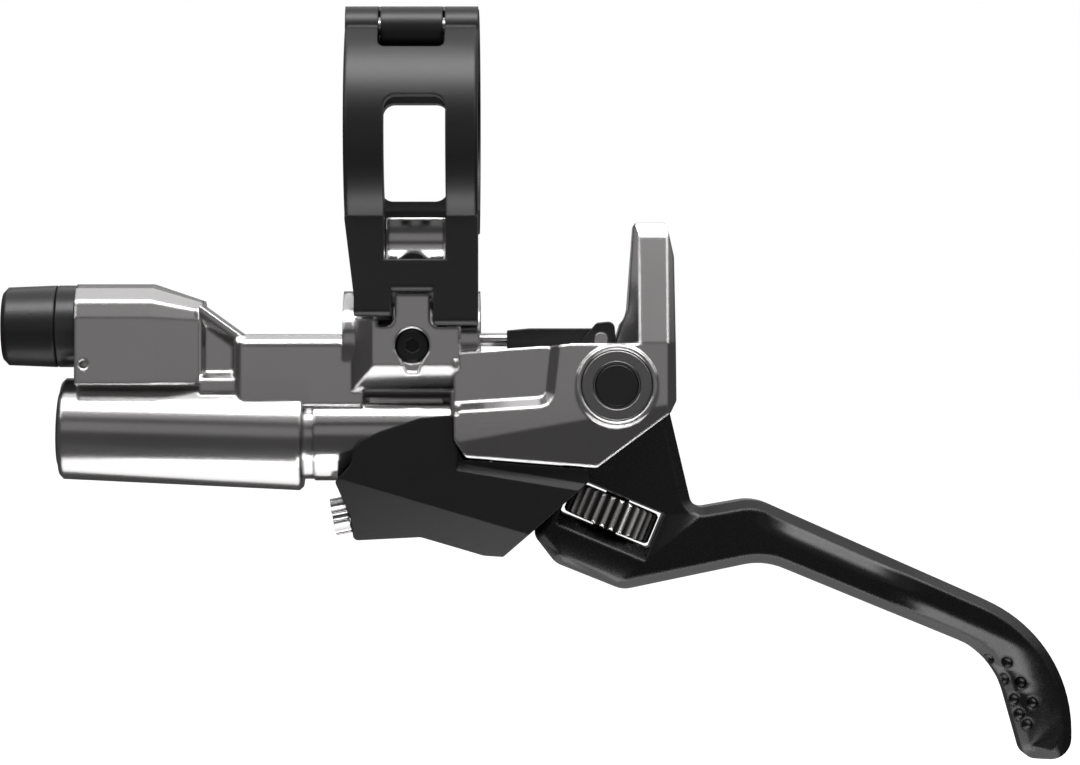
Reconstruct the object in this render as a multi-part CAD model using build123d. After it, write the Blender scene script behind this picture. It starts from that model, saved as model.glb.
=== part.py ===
"""Bicycle hydraulic brake lever with a hinged handlebar clamp.

The x axis runs along the handlebar towards its end, z points up from the lever to the bar,
and y points away from the viewer of the drive side. The origin is the centre of the clamp.
All sizes are in millimetres.
"""

import os
from math import atan2, cos, degrees, radians, sin, sqrt, tan

from build123d import *

# Fits
running_fit = 0.05
seat_fit = 0.02
body_gap = 0.3
overshoot = 1.0

# Handlebar clamp
bar_diameter = 22.2
bar_radius = bar_diameter / 2
band_wall = 3.7
band_radius = bar_radius + band_wall
band_width = 15.7
band_edge = 0.35
window_left, window_right, window_top = -3.2, 4.1, 3.35
rear_window_left, rear_window_right = -4.2, 3.9
rear_window_top, rear_window_bottom = 3.95, -8.2
window_corner = 1.5
slot_left, slot_right = -2.4, 2.6
crossbar_top = -band_radius - 0.9
crossbar_height = 3.8
crossbar_bottom = crossbar_top - crossbar_height
leg_bottom_left, leg_bottom_right = crossbar_bottom - 2.9, crossbar_bottom - 4.0
leg_outer, leg_inner = 10.3, 6.1
leg_corner = 0.8
left_leg_taper, left_leg_bend = 1.1, 3.0
taper_top, taper_bottom = -11.0, -20.0
rear_leg_half_width = 5.0
hinge_radius = 2.4
hinge_wall = 0.1
hinge_angle = 29.0
hinge_distance = bar_radius + hinge_radius + hinge_wall
hinge_y = -hinge_distance * sin(radians(hinge_angle))
hinge_z = hinge_distance * cos(radians(hinge_angle))
hinge_pin_radius = 1.1
knuckle_gap = 0.3
notch_corner = 0.8
barrel_half_width = 3.65

# Clamp bolt
clamp_bolt_radius = 2.0
clamp_bolt_x, clamp_bolt_z = 0.2, crossbar_top - 1.2
clamp_bolt_head_radius, clamp_bolt_head_length = 3.4, 3.2
clamp_bolt_end = 1.3 - leg_outer
clamp_bolt_clearance = 0.1
clamp_bolt_edge = 0.4
bolt_socket_across, bolt_socket_depth = 4.0, 2.0

# Saddle tongue of the housing
tongue_left, tongue_right = -2.0, 2.15
tongue_corner = 1.0
saddle_left, saddle_right = -3.1, 3.9
saddle_half = 5.8
saddle_top = 0.43 - bar_radius
scoop_radius, scoop_depth = 4.0, 1.3
scoop_z = -13.1

# Body plate between the clamp legs and the reservoir barrel
plate_half = 8.0
plate_left, plate_right = -6.9, 5.6
plate_top, plate_bottom = -23.7, -31.2
plate_side_bevel = 2.3
plate_bevel_top = -28.3
plate_bevel_depth = 2.6
column_right, column_top = -4.3, -22.5
column_corner = 0.5
keyhole_x, keyhole_z, keyhole_radius = 0.05, -25.87, 2.05
keyhole_depth, mouth_depth = 2.0, 1.1
mouth_half_top, mouth_half_bottom, mouth_top, mouth_bottom = 1.5, 0.7, 1.2, 3.2
rib_left, rib_right, rib_top, rib_bottom, rib_depth = -5.2, 3.6, -31.9, -32.7, 4.9

# Master cylinder
bore_z = -25.1
bore_radius = 4.5
bore_start, bore_end = -7.0, 8.0
cylinder_wall = 1.3

# Reservoir barrel and the neck beside it
barrel_start, barrel_end = -42.2, -13.0
barrel_start_z, barrel_end_z = -35.75, -36.6
barrel_start_radius, barrel_end_radius = 6.05, 6.6
barrel_wall, barrel_floor = 1.3, 2.0
barrel_edge = 0.45
groove_radius, groove_width = 5.2, 1.2
tube_radius, tube_z, tube_end = 5.7, -36.3, 9.5
neck_left, neck_top, neck_bottom, neck_half = -21.5, -24.5, -33.0, 5.2
neck_edge, neck_corner = 1.6, 0.5
neck_flare = 1.7

# Hose port
port_start, port_shoulder, port_end = -40.1, -30.9, -25.0
port_top, port_bottom, port_half, port_round = -18.5, -30.5, 6.0, 4.1
port_end_top, port_end_half, port_end_round = -20.5, 3.7, 2.4
port_facets = 3
hose_z = -23.5
hose_radius = 2.5
port_thread_radius, port_thread_depth = 3.8, 9.0
port_passage_radius, port_passage_depth = 1.0, 13.0
collar_length, boot_length = 2.6, 6.4
boot_step = port_start - collar_length
boot_left = boot_step - boot_length
boot_left_radius, boot_right_radius = 4.65, 4.9
boot_wall, boot_edge, collar_edge = 1.3, 0.6, 0.25
web_half = 4.6
web_left, web_right, web_top, web_low, web_bottom = -25.4, -13.6, -20.9, -29.4, -31.5
web_pocket_depth, web_pocket_taper = 1.2, 40.0
web_pocket = [(-24.6, -23.7), (-17.4, -28.9), (-24.6, -28.9)]
pin_hole_x, pin_hole_z, pin_hole_radius, pin_hole_depth = -39.0, -28.1, 0.5, 2.0

# Ears and post
ear_outer, ear_inner = 8.6, 5.6
ear_left = plate_right - 0.6
post_top = -11.2
ear_outline = [
    (ear_left, -26.7, 0),
    (18.4, -25.7, 2.0),
    (22.6, -24.9, 2.5),
    (25.5, -22.6, 3.0),
    (26.3, post_top, 0.5),
    (30.2, post_top, 0.5),
    (31.1, -15.3, 0.6),
    (31.3, -32.4, 0.8),
    (30.6, -33.8, 0.8),
    (21.9, -40.3, 0.6),
    (6.4, -39.1, 0.6),
    (ear_left, -37.0, 0),
]
ear_pocket_depth, ear_pocket_taper = 1.1, 48.0
ear_pocket = [(0.0, -20.0), (17.0, -20.0), (15.7, -31.9), (0.0, -32.9)]
ear_pocket_corner = 0.9
ear_fold_left, ear_fold_right, ear_fold_angle = (6.5, -37.2), (20.9, -34.6), 9.0
post_half, post_low, post_high = 5.2, -25.6, -14.5
post_left, post_right, post_edge = 26.0, 31.2, 1.0
post_bevel_angle = 45.0
post_top_low, post_top_depth = -13.6, 1.5
slot_floor_x, slot_floor_z, slot_top, slot_right_x = 9.5, -31.2, -23.6, 25.6
bridge_bottom = -38.0
groove_left, groove_right, groove_top, groove_bottom, groove_depth = 4.9, 5.5, -27.6, -34.0, 0.9

# Pivot
pivot_x, pivot_z = 24.24, -30.6
boss_radius, boss_rise = 4.85, 0.5
axle_radius = 2.4
axle_head_radius, axle_head_edge = 2.6, 0.2
axle_head_gap, axle_head_depth = 0.23, 0.15
bushing_flange_radius, bushing_radius = 4.25, 3.2
bushing_flange, bushing_edge = 0.9, 0.2
clip_groove_radius, clip_thickness, clip_mouth = 1.9, 0.5, 0.9

# Blade and its reach adjuster
blade_half = 5.0
blade_edge = 1.1
blade_flange, blade_flange_rim = 0.3, 0.9
blade_slot_half = 3.5
blade_outline = [
    (33.3, -45.3, 1.5),
    (40.8, -44.0, 6.0),
    (78.45, -60.65, 17.0),
    (78.45, -75.15, 2.6),
    (73.0, -75.15, 1.8),
    (69.55, -62.8, 10.0),
    (41.8, -51.4, 8.0),
    (25.0, -54.9, 3.0),
    (17.0, -51.7, 2.5),
    (14.2, -48.1, 1.8),
    (17.4, -41.5, 2.0),
    (20.0, -32.5, 3.0),
    (24.2, -26.2, 3.5),
    (29.0, -29.0, 3.0),
    (30.6, -33.8, 4.0),
]
knob_x, knob_z = 23.7, -45.8
knob_axis = (0.385, 0.923)
knob_radius, knob_thickness, knob_edge = 5.45, 3.8, 0.3
knob_ridges, knob_ridge_size = 28, 0.62
window_gap_end, window_gap_side = 0.3, 0.35
window_ledge, window_ledge_depth, window_rounding = 1.5, 1.6, 0.5
blade_slot_bottom, blade_slot_side, blade_slot_corner = 6.0, 3.6, 1.0
reach_screw_radius = 1.5
reach_screw_start, reach_screw_tip, reach_screw_dome = -2.7, 10.6, 1.0
reach_screw_room = 0.9
anvil_gap = 0.1

# Swing link and pushrod
link_half = 3.2
link_eye_radius = 4.6
link_fork_half = 1.85
link_arm = [
    (19.8, -28.0, 0),
    (20.3, -25.0, 0.6),
    (21.9, -23.1, 0.7),
    (24.0, -22.9, 0.8),
    (24.2, -25.0, 0.6),
    (28.2, -28.4, 0),
]
link_fork_floor, link_fork_right = -26.9, 25.6
anvil_half, anvil_right, anvil_left = 1.8, 5.0, 3.4
anvil_edge, anvil_bend = 0.4, 0.8
bearing_radius = 3.0
rod_pin_x, rod_pin_z, rod_pin_radius = 22.45, bore_z, 0.8
rod_eye_half, rod_eye_radius = 1.55, 1.6
clevis_half_height, clevis_wall = 1.35, 0.3
clevis_edge, clevis_bend = 0.2, 1.0
clevis_start, clevis_taper, clevis_grip = 11.2, 13.9, 3.0
rod_radius = 0.8
rod_ball_radius, rod_ball_x, ball_gap = 1.3, 4.6, 0.15
rod_ball_cones = 6

# Piston and what works with it
piston_start, piston_end = -2.3, 6.5
piston_groove_radius = 3.3
primary_groove, secondary_groove = (-1.7, -0.7), (4.9, 5.9)
piston_waist, piston_waist_radius = (0.2, 2.8), 3.5
retainer_width, retainer_hole_radius, retainer_inset = 0.8, 2.6, 0.2
spring_turns, spring_wire, spring_radius = 3, 0.5, 3.2

# Reservoir closure
cap_length, cap_rise, cap_edge = 4.0, 0.3, 0.3
cap_socket_across, cap_socket_depth = 5.0, 1.4
cap_seal_at, seal_width = 1.8, 1.0
bladder_length, bladder_wall, bladder_edge = 21.0, 0.8, 1.0

# Bleed screw
bleed_head, bleed_edge = 1.2, 0.25
bleed_socket_across, bleed_socket_depth = 1.6, 0.8

# Cover
cover_half, cover_wall = 7.6, 1.3
cover_outline = [
    (4.9, -34.1, 0.3),
    (4.9, -37.2, 0.5),
    (6.0, -39.38, 0.3),
    (20.84, -40.55, 0.2),
    (21.07, -41.9, 0.1),
    (10.8, -50.94, 0.5),
    (8.5, -50.8, 1.5),
    (1.0, -48.6, 1.5),
    (-7.0, -49.05, 0.6),
    (-7.4, -46.0, 1.0),
    (-9.1, -42.0, 0.4),
    (-7.3, -40.0, 2.0),
    (-6.3, -37.2, 1.5),
    (-3.8, -36.0, 1.5),
    (1.0, -34.4, 1.5),
]
cover_inside = [
    (9.0, -30.0, 0),
    (30.0, -30.0, 0),
    (30.0, -49.6, 0),
    (9.0, -49.5, 1.0),
    (1.2, -47.3, 1.0),
    (-5.4, -47.6, 0.5),
    (-6.1, -45.0, 0.5),
    (-6.1, -30.0, 0),
]
cover_bevel_angle = 26.0
cover_bevel_left, cover_bevel_right = (-4.7, -42.7), (13.3, -48.0)
cover_step_angle, cover_step_depth = 38.0, 0.7
cover_step_left, cover_step_right = (5.3, -40.64), (19.6, -43.0)
cover_screw_x, cover_screw_z = -8.7, -46.2
cover_screw_tilt = 11.0
cover_screw_radius, cover_screw_head, cover_screw_flutes = 2.2, 1.9, 6
cover_screw_shank, cover_screw_length = 1.2, 6.5
flute_radius, flute_offset = 0.6, 0.25
lug_left, lug_right, lug_bottom, lug_half = -5.2, -1.2, -47.0, 2.6



def hexagon(across_flats):
    return RegularPolygon(across_flats / sqrt(3), 6)


def slab(points, radii, front, back):
    """Solid over an outline of (x, z) corners, from y = front to y = back."""
    face = make_face(FilletPolyline(*points, radius=radii, close=True))
    return extrude(Plane.XZ.offset(-back) * face, amount=back - front)


def plate_of(outline, front, back):
    """Slab over an outline of (x, z, corner radius)."""
    return slab([(x, z) for x, z, _ in outline], [radius for _, _, radius in outline], front, back)


def cross_slab(points, radii, left, right):
    """Solid over an outline of (y, z) corners, from x = left to x = right."""
    face = make_face(FilletPolyline(*points, radius=radii, close=True))
    return extrude(Plane.YZ.offset(left) * face, amount=right - left)


def block(x0, x1, y0, y1, z0, z1):
    return Pos((x0 + x1) / 2, (y0 + y1) / 2, (z0 + z1) / 2) * Box(x1 - x0, y1 - y0, z1 - z0)


def rod_x(x0, x1, y, z, radius, end_radius=None):
    plane = Plane(origin=(x0, y, z), z_dir=(1, 0, 0))
    if end_radius is None:
        return Part() + Solid.make_cylinder(radius, x1 - x0, plane)
    return Part() + Solid.make_cone(radius, end_radius, x1 - x0, plane)


def rod_y(y0, y1, x, z, radius):
    return Part() + Solid.make_cylinder(radius, y1 - y0, Plane(origin=(x, y0, z), z_dir=(0, 1, 0)))


def sides(near, far):
    """The span from near to far on the negative and on the positive side of an axis."""
    return (-far, -near), (near, far)


def outside(side, half, left, right, angle, depth=0.0):
    """Space outside a bevelled face. The face starts on the side at y = half, along the line from
    left to right (x, z), leans inwards by the angle below that line, and lies at a depth under it."""
    tilt = radians(angle)
    along = Vector(right[0] - left[0], 0, right[1] - left[1]).normalized()
    down = Vector(along.Z, 0, -along.X)
    outward = Vector(0, side, 0) * cos(tilt) + down * sin(tilt)
    start = Vector(left[0], side * half, left[1]) - outward * depth
    reach = band_radius * 2
    space = Box(4 * reach, 2 * reach, 2 * reach)
    return Plane(origin=start, x_dir=along, z_dir=outward) * Pos(0, 0, reach) * space


def milled_pocket(points, corner, side, half, depth, taper):
    """Pocket in the face at y = half, over its floor's outline, with walls that open outwards."""
    floor = make_face(FilletPolyline(*points, radius=[corner] * len(points), close=True))
    plane = Plane(origin=(0, side * (half - depth), 0), x_dir=(1, 0, 0), z_dir=(0, side, 0))
    if side > 0:
        floor = mirror(floor, Plane.XZ)
    return extrude(plane * floor, amount=depth + overshoot, taper=-taper)


def sector(profile, start, end):
    """Ring segment about the x axis over a profile of (x, radius); degrees from y towards z."""
    turn = radians(start)
    plane = Plane(origin=(0, 0, 0), x_dir=(1, 0, 0), z_dir=(0, -sin(turn), cos(turn)))
    return revolve(plane * make_face(Polyline(*profile, close=True)), Axis.X, end - start)


def band_profile():
    """Section of the band with its outer edges broken."""
    half = band_width / 2
    return [
        (-half, bar_radius),
        (half, bar_radius),
        (half, band_radius - band_edge),
        (half - band_edge, band_radius),
        (-half + band_edge, band_radius),
        (-half, band_radius - band_edge),
    ]


def clamp_leg(side, leg_bottom, left, right):
    """Straight leg below the ring; side is -1 at the front and 1 at the rear."""
    outer, inner = side * leg_outer, side * leg_inner
    outer_top = -sqrt(band_radius**2 - leg_outer**2)
    inner_top = seat_fit - sqrt(bar_radius**2 - leg_inner**2)
    corners = [(outer, outer_top), (outer, leg_bottom), (inner, leg_bottom), (inner, inner_top)]
    return cross_slab(corners, [0, leg_corner, leg_corner, 0], left, right)


def leg_angle():
    """Angle below the y axis at which the inner face of a leg meets the bar."""
    return degrees(atan2(sqrt(bar_radius**2 - leg_inner**2), leg_inner))


def hinge_cylinder(radius, left, right):
    return rod_x(left, right, hinge_y, hinge_z, radius)


def clamp_band_front():
    """Half of the band that faces the viewer: two rails, a bridge, a crossbar and two legs."""
    half = band_width / 2
    past = half + overshoot
    part = sector(band_profile(), 90 + hinge_angle, 180 + leg_angle())
    part += hinge_cylinder(hinge_radius, -half, half)
    part += clamp_leg(-1, leg_bottom_left, -half, slot_left)
    part += clamp_leg(-1, leg_bottom_right, slot_right, half)
    part += clamp_leg(-1, crossbar_bottom, -half, half)
    part -= rod_x(-past, past, 0, 0, bar_radius)
    # Left leg narrows downwards
    edge = left_leg_taper - half
    low = leg_bottom_left - overshoot
    taper = [(-past, taper_top), (-half, taper_top), (edge, taper_bottom), (edge, low), (-past, low)]
    part -= slab(taper, [0, 0, left_leg_bend, 0, 0], -band_radius, 0)
    # Window over the front wall, down to the crossbar
    window = [
        (window_left, window_top),
        (window_right, window_top),
        (window_right, crossbar_top),
        (window_left, crossbar_top),
    ]
    part -= slab(window, [window_corner, window_corner, 0, 0], -2 * band_radius, -leg_inner)
    # Notch that takes the rear half's barrel
    reach = barrel_half_width + knuckle_gap
    floor = hinge_z - hinge_radius - knuckle_gap
    notch = [(-reach, floor), (reach, floor), (reach, 2 * band_radius), (-reach, 2 * band_radius)]
    part -= slab(notch, [notch_corner, notch_corner, 0, 0], -2 * band_radius, 0)
    part -= hinge_cylinder(hinge_pin_radius + seat_fit, -past, past)
    # Threaded blind hole for the bolt
    hole_end = clamp_bolt_end - body_gap
    return part - rod_y(hole_end, 0, clamp_bolt_x, clamp_bolt_z, clamp_bolt_radius + seat_fit)


def clamp_band_rear():
    """Half of the band away from the viewer, with the hinge barrel and the bolt's lug."""
    half = band_width / 2
    past = half + overshoot
    split = 90 + hinge_angle
    part = sector(band_profile(), -leg_angle(), split)
    part -= hinge_cylinder(hinge_radius + knuckle_gap, -past, past)
    part += hinge_cylinder(hinge_radius, -barrel_half_width, barrel_half_width)
    bridge = [
        (-barrel_half_width, bar_radius),
        (barrel_half_width, bar_radius),
        (barrel_half_width, band_radius),
        (-barrel_half_width, band_radius),
    ]
    part += sector(bridge, 90, split)
    # Room for the front half's two knuckles
    beside = barrel_half_width + knuckle_gap
    for left, right in sides(beside, past):
        part -= block(left, right, -band_radius, hinge_y + hinge_radius, 0, 2 * band_radius)
    part += clamp_leg(1, crossbar_bottom, -rear_leg_half_width, rear_leg_half_width)
    part -= rod_x(-past, past, 0, 0, bar_radius)
    window = [
        (rear_window_left, rear_window_bottom),
        (rear_window_right, rear_window_bottom),
        (rear_window_right, rear_window_top),
        (rear_window_left, rear_window_top),
    ]
    part -= slab(window, [window_corner] * 4, 0, 2 * band_radius)
    part -= hinge_cylinder(hinge_pin_radius + seat_fit, -past, past)
    clearance = clamp_bolt_radius + clamp_bolt_clearance
    return part - rod_y(0, band_radius, clamp_bolt_x, clamp_bolt_z, clearance)


def clamp_hinge_pin():
    reach = band_width / 2 - body_gap
    return hinge_cylinder(hinge_pin_radius, -reach, reach)


def clamp_bolt():
    """Socket-head bolt from the rear leg, through the tongue, into the front leg."""
    head_end = leg_outer + clamp_bolt_head_length
    part = rod_y(clamp_bolt_end, leg_outer, clamp_bolt_x, clamp_bolt_z, clamp_bolt_radius)
    head = rod_y(leg_outer, head_end, clamp_bolt_x, clamp_bolt_z, clamp_bolt_head_radius)
    part += chamfer(head.faces().sort_by(Axis.Y)[-1].edges(), clamp_bolt_edge)
    socket = Plane(origin=(clamp_bolt_x, head_end, clamp_bolt_z), z_dir=(0, -1, 0))
    return part - extrude(socket * hexagon(bolt_socket_across), amount=bolt_socket_depth)


def barrel_plane(distance):
    """Plane across the reservoir barrel, at a distance inwards from its open end."""
    start = Vector(barrel_start, 0, barrel_start_z)
    axis = (Vector(barrel_end, 0, barrel_end_z) - start).normalized()
    return Plane(start + axis * distance, z_dir=axis)


def barrel_length():
    return (Vector(barrel_end, 0, barrel_end_z) - Vector(barrel_start, 0, barrel_start_z)).length


def reservoir_body():
    """Tapered barrel that holds the bladder, its end groove and the plain tube that carries it."""
    barrel = Part() + Solid.make_cone(
        barrel_start_radius, barrel_end_radius, barrel_length(), barrel_plane(0)
    )
    part = chamfer(barrel.edges().filter_by(GeomType.CIRCLE), barrel_edge)
    part += rod_x(barrel_end - barrel_wall, barrel_end + groove_width, 0, barrel_end_z, groove_radius)
    return part + rod_x(barrel_end + groove_width, tube_end, 0, tube_z, tube_radius)


def reservoir_cavity():
    radius = barrel_start_radius - barrel_wall
    return Part() + Solid.make_cylinder(radius, barrel_length() - barrel_floor, barrel_plane(0))


def port_section(x, half, top, rounding):
    """Section of the port with each upper corner turned in a few flats."""
    corner = []
    for step in range(port_facets + 1):
        angle = radians(90 * step / port_facets)
        corner.append((half - rounding * (1 - cos(angle)), top - rounding * (1 - sin(angle))))
    points = [(-half, port_bottom), (half, port_bottom)] + corner + [(-y, z) for y, z in reversed(corner)]
    return Plane.YZ.offset(x) * make_face(Polyline(*points, close=True))


def hose_port():
    """Housing of the hose fitting, its tapered end and the web that braces it."""
    shoulder = port_section(port_shoulder, port_half, port_top, port_round)
    end = port_section(port_end, port_end_half, port_end_top, port_end_round)
    part = extrude(shoulder, amount=port_start - port_shoulder)
    part += loft([shoulder, end], ruled=True)
    corners = [(web_left, web_top), (web_right, web_low), (web_right, web_bottom), (web_left, web_bottom)]
    web = slab(corners, [0] * 4, -web_half, web_half)
    for side in (-1, 1):
        web -= milled_pocket(web_pocket, 0, side, web_half, web_pocket_depth, web_pocket_taper)
    return part + web


def saddle():
    """Upper end of the tongue: it carries the bar, and its front and rear are scooped out."""
    low = crossbar_bottom - overshoot
    part = block(saddle_left, saddle_right, -saddle_half, saddle_half, low, saddle_top)
    part -= rod_x(saddle_left - overshoot, saddle_right + overshoot, 0, 0, bar_radius)
    centre = saddle_half - scoop_depth + scoop_radius
    for y in (-centre, centre):
        part -= rod_x(saddle_left - overshoot, saddle_right + overshoot, y, scoop_z, scoop_radius)
    return part


def plate_block():
    """Centre block with the tongue for the clamp, the plate under it and the master cylinder."""
    corners = [
        (plate_left, plate_bottom),
        (plate_left, column_top),
        (column_right, column_top),
        (column_right, plate_top),
        (tongue_left, plate_top),
        (tongue_left, crossbar_bottom - body_gap),
        (tongue_right, crossbar_bottom - body_gap),
        (tongue_right, plate_top),
        (plate_right, plate_top),
        (plate_right, plate_bottom),
    ]
    inner = column_corner
    radii = [0, inner, inner, inner, tongue_corner, 0, 0, tongue_corner, 0, 0]
    part = slab(corners, radii, -plate_half, plate_half) + saddle()
    # Bevels on the left edge of the column and along the bottom of the plate
    for side in (-1, 1):
        wedge = make_face(
            Polyline(
                (plate_left - overshoot, side * (plate_half - plate_side_bevel - overshoot)),
                (plate_left - overshoot, side * (plate_half + overshoot)),
                (plate_left + plate_side_bevel + overshoot, side * (plate_half + overshoot)),
                close=True,
            )
        )
        part -= extrude(Plane.XY.offset(plate_bottom) * wedge, amount=column_top - plate_bottom)
        height = plate_bevel_top - plate_bottom
        tilt = degrees(atan2(plate_bevel_depth, height))
        line = (plate_left, plate_bevel_top), (plate_right, plate_bevel_top)
        below = block(plate_left, plate_right, -plate_half, plate_half, plate_bottom, plate_bevel_top)
        part -= outside(side, plate_half, *line, tilt) & below
    back = bore_start - cylinder_wall
    return part + rod_x(back, bore_end, 0, bore_z, bore_radius + cylinder_wall)


def neck():
    """Neck from the port to the column, over the reservoir tube, flared where it meets the column."""
    right = plate_left + overshoot
    corners = [(neck_left, neck_top), (right, neck_top), (right, neck_bottom), (neck_left, neck_bottom)]
    part = slab(corners, [neck_corner, 0, 0, 0], -neck_half, neck_half)
    part = fillet(part.edges().filter_by(Axis.X).group_by(Axis.Z)[-1], neck_edge)
    half = plate_half - plate_side_bevel
    flare = make_face(
        Polyline(
            (plate_left - neck_flare, -neck_half + neck_edge),
            (plate_left - neck_flare, neck_half - neck_edge),
            (plate_left, half),
            (right, half),
            (right, -half),
            (plate_left, -half),
            close=True,
        )
    )
    return part + extrude(Plane.XY.offset(plate_bottom) * flare, amount=neck_top - plate_bottom)


def post_bevel(side, x, turn):
    """Space outside a bevel on the post, along its leaning face from x outwards."""
    along = Vector(0, side * (post_half - ear_outer), post_high - post_low).normalized()
    across = Vector(turn, -side * tan(radians(post_bevel_angle)), 0)
    outward = along.cross(across).normalized() * (side * turn)
    start = Plane(origin=(x, side * ear_outer, post_low), x_dir=along, z_dir=outward)
    reach = 2 * ear_outer
    return start * Pos(reach, 0, reach) * Box(2 * reach, 2 * reach, 2 * reach)


def ears():
    """Both ears with their milled pockets, the pivot bosses and the post that joins them."""
    whole = plate_of(ear_outline, -ear_outer, ear_outer)
    # Slot for the blade and the link, open below, on the right and above
    x, z = slot_floor_x, slot_floor_z
    slot = [
        (x, 2 * z),
        (x, z),
        (bore_end, z),
        (bore_end, z / 2),
        (slot_right_x, z / 2),
        (slot_right_x, slot_top),
        (2 * slot_right_x, slot_top),
        (2 * slot_right_x, 2 * z),
    ]
    whole -= slab(slot, [0] * 8, -ear_inner, ear_inner)
    lean = degrees(atan2(ear_outer - post_half, post_high - post_low))
    top_lean = degrees(atan2(post_top_depth, post_top - post_top_low))
    for side in (-1, 1):
        # The outer face leans in towards the narrower post and its sloping top
        whole -= outside(side, ear_outer, (1, post_low), (0, post_low), lean)
        whole -= outside(side, post_half, (1, post_top_low), (0, post_top_low), top_lean)
        whole -= post_bevel(side, post_left + post_edge, -1)
        whole -= post_bevel(side, post_right - post_edge, 1)
        start = post_right - post_edge
        below = block(start, post_right + overshoot, -ear_outer, ear_outer, 2 * pivot_z, post_low)
        whole -= outside(side, ear_outer, (start, 0), (start, 1), post_bevel_angle) & below
        whole -= outside(side, ear_outer, ear_fold_left, ear_fold_right, ear_fold_angle)
        whole -= milled_pocket(
            ear_pocket, ear_pocket_corner, side, ear_outer, ear_pocket_depth, ear_pocket_taper
        )
    for y0, y1 in sides(ear_outer - overshoot, ear_outer + boss_rise):
        whole += rod_y(y0, y1, pivot_x, pivot_z, boss_radius)
    return whole


def keyhole():
    """Blind hole in the plate that opens downwards."""
    face = -plate_half
    part = rod_y(face - overshoot, face + keyhole_depth, keyhole_x, keyhole_z, keyhole_radius)
    mouth = [
        (keyhole_x - mouth_half_top, keyhole_z - mouth_top),
        (keyhole_x + mouth_half_top, keyhole_z - mouth_top),
        (keyhole_x + mouth_half_bottom, keyhole_z - mouth_bottom),
        (keyhole_x - mouth_half_bottom, keyhole_z - mouth_bottom),
    ]
    return part + slab(mouth, [0] * 4, face - overshoot, face + mouth_depth)


def housing():
    """Body: reservoir, neck, hose port, plate with the tongue, and the ears with their post."""
    part = reservoir_body() + neck() + hose_port() + plate_block() + ears()
    part += block(plate_right - overshoot, slot_floor_x, -ear_inner, ear_inner, bridge_bottom, slot_floor_z)
    part += block(lug_left, lug_right, -lug_half, lug_half, lug_bottom, tube_z)
    # Bore, reservoir, hose port with its passage, and the holes for screws and pins
    part -= rod_x(bore_start, bore_end + overshoot, 0, bore_z, bore_radius)
    part -= reservoir_cavity()
    part -= rod_x(port_start - overshoot, port_start + port_thread_depth, 0, hose_z, port_thread_radius)
    part -= rod_x(port_start, port_start + port_passage_depth, 0, hose_z, port_passage_radius)
    part -= cover_screw_cylinder(-cover_screw_length - body_gap, 0, cover_screw_shank + seat_fit)
    part -= keyhole()
    bolt_hole = clamp_bolt_radius + clamp_bolt_clearance
    part -= rod_y(-plate_half, plate_half, clamp_bolt_x, clamp_bolt_z, bolt_hole)
    face = ear_outer + boss_rise
    part -= rod_y(-face, face, pivot_x, pivot_z, bushing_radius + seat_fit)
    for y0, y1 in sides(face - bushing_flange, face + overshoot):
        part -= rod_y(y0, y1, pivot_x, pivot_z, bushing_flange_radius + seat_fit)
    for y0, y1 in sides(port_half - pin_hole_depth, port_half + overshoot):
        part -= rod_y(y0, y1, pin_hole_x, pin_hole_z, pin_hole_radius)
    # Grooves below the plate and beside the ears
    for y0, y1 in sides(rib_depth - overshoot, plate_half):
        part -= block(rib_left, rib_right, y0, y1, rib_bottom, rib_top)
    for y0, y1 in sides(ear_outer - groove_depth, ear_outer + overshoot):
        part -= block(groove_left, groove_right, y0, y1, groove_bottom, groove_top)
    return part


def hose_nut():
    """Compression nut: a thread in the port, a collar and the stem under the boot."""
    thread_end = port_start + port_thread_depth - body_gap
    part = rod_x(port_start, thread_end, 0, hose_z, port_thread_radius - seat_fit)
    collar = rod_x(boot_step, port_start, 0, hose_z, boot_right_radius)
    part += chamfer(collar.edges().filter_by(GeomType.CIRCLE), collar_edge)
    part += rod_x(boot_left + boot_wall, boot_step, 0, hose_z, boot_left_radius - boot_wall)
    return part - rod_x(boot_left, thread_end + overshoot, 0, hose_z, hose_radius + running_fit)


def hose_nut_boot():
    """Tapered boot pressed over the nut's stem."""
    part = rod_x(boot_left, boot_step, 0, hose_z, boot_left_radius, boot_right_radius)
    part = chamfer(part.faces().sort_by(Axis.X)[0].edges(), boot_edge)
    stem_radius = boot_left_radius - boot_wall + seat_fit
    part -= rod_x(boot_left + boot_wall, boot_step + overshoot, 0, hose_z, stem_radius)
    return part - rod_x(boot_left - overshoot, boot_step, 0, hose_z, hose_radius + running_fit)


def barrel_ring(distance, length, outer, inner):
    plane = barrel_plane(distance)
    ring = Part() + Solid.make_cylinder(outer, length, plane)
    return ring - Solid.make_cylinder(inner, length, plane)


def reservoir_cap():
    """Plug with a hexagon socket and a groove for its O-ring."""
    inner = barrel_start_radius - barrel_wall
    plug = Part() + Solid.make_cylinder(inner - seat_fit, cap_length, barrel_plane(-cap_rise))
    plug = chamfer(plug.edges().filter_by(GeomType.CIRCLE), cap_edge)
    plug -= extrude(barrel_plane(-cap_rise) * hexagon(cap_socket_across), amount=cap_socket_depth)
    return plug - barrel_ring(cap_seal_at, seal_width, inner + overshoot, inner - seal_width)


def reservoir_seal():
    inner = barrel_start_radius - barrel_wall
    length = seal_width - 2 * running_fit
    return barrel_ring(cap_seal_at + running_fit, length, inner - seat_fit, inner - seal_width + seat_fit)


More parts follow.
